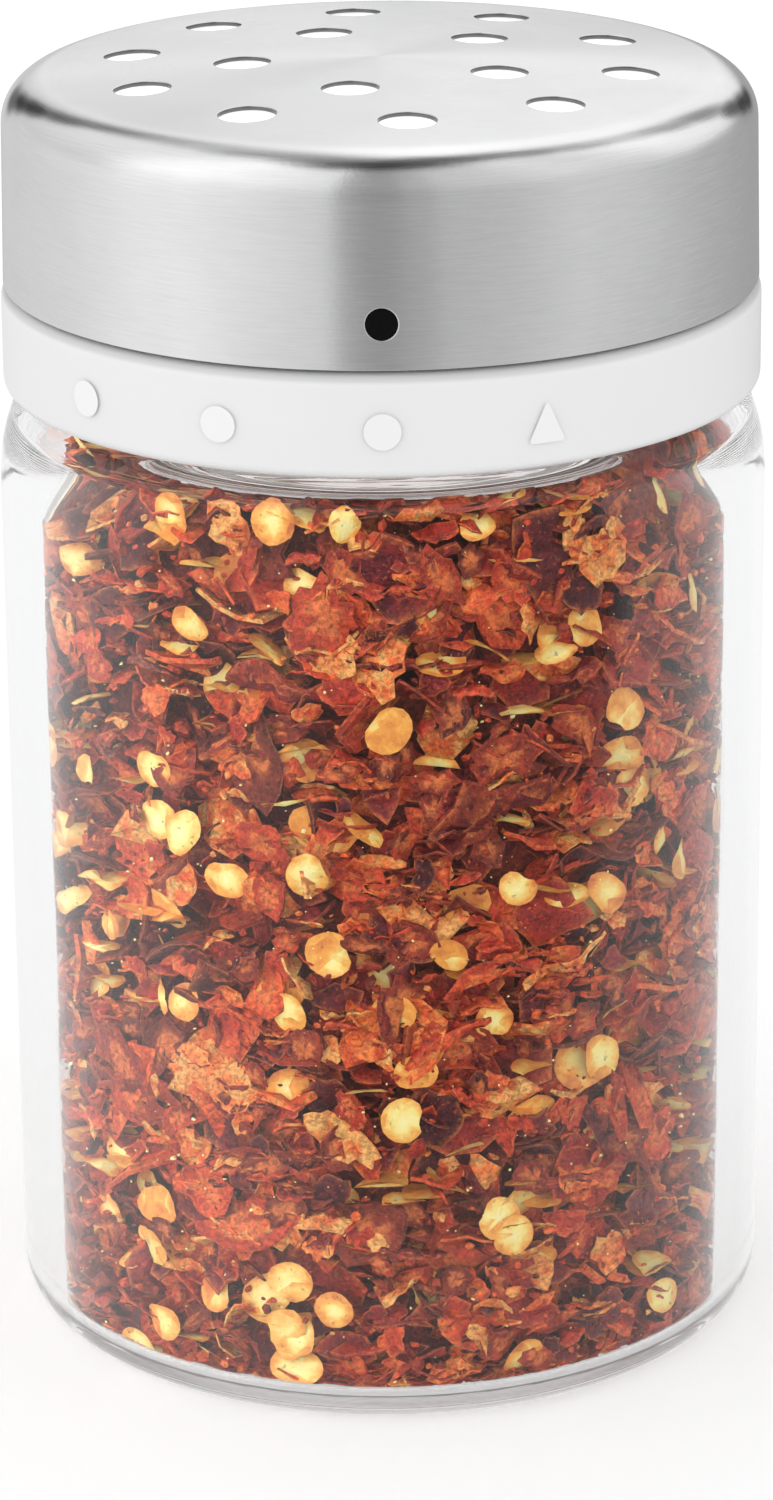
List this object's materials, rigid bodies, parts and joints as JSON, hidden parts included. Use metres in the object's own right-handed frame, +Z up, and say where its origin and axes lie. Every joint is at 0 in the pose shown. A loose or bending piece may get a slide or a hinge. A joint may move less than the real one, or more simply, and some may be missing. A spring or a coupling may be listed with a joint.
{
  "type": "spice jar",
  "caption": "Round glass spice jar filled with chilli flakes, with a white screw collar and a twist steel shaker cap with sprinkle holes and a dial dot.",
  "frame": {"origin": "centre of the foot, on the surface the jar stands on", "axes": "+Z up along the jar's axis; -Y is the front, where the black dot is; +X is to the right of it"},
  "size_m": [0.058, 0.058, 0.0984],
  "materials": {
    "clear_glass": "polished",
    "chilli": "matte",
    "clear_silicone": "satin",
    "white_collar": "satin",
    "white_plate": "satin",
    "white_liner": "satin",
    "steel": "satin",
    "black_dot": "matte"
  },
  "bodies": {
    "jar": {"glass_jar": "clear_glass", "chilli_flakes": "chilli"},
    "gasket": {"jar_gasket": "clear_silicone"},
    "collar": {"threaded_collar": "white_collar", "sifter_plate": "white_plate", "face_seal": "clear_silicone"},
    "cap": {"steel_cap": "steel", "cap_liner": "white_liner", "indicator_dot": "black_dot"}
  },
  "joints": [
    {"name": "lid_rise", "type": "slide", "parent": "jar", "child": "gasket", "axis": [0, 0, 1], "range_m": [0, 0.016]},
    {"name": "lid_unscrew", "type": "hinge", "parent": "gasket", "child": "collar", "pos_m": [0, 0, 0.08], "axis": [0, 0, 1], "range_deg": [0, 1440]},
    {"name": "cap_turn", "type": "hinge", "parent": "collar", "child": "cap", "pos_m": [0, 0, 0.09], "axis": [0, 0, 1], "range_deg": [-48, 0]}
  ],
  "couplings": [
    {"joint": "lid_rise", "follows": "lid_unscrew", "m_per_rad": 0.00063662}
  ]
}
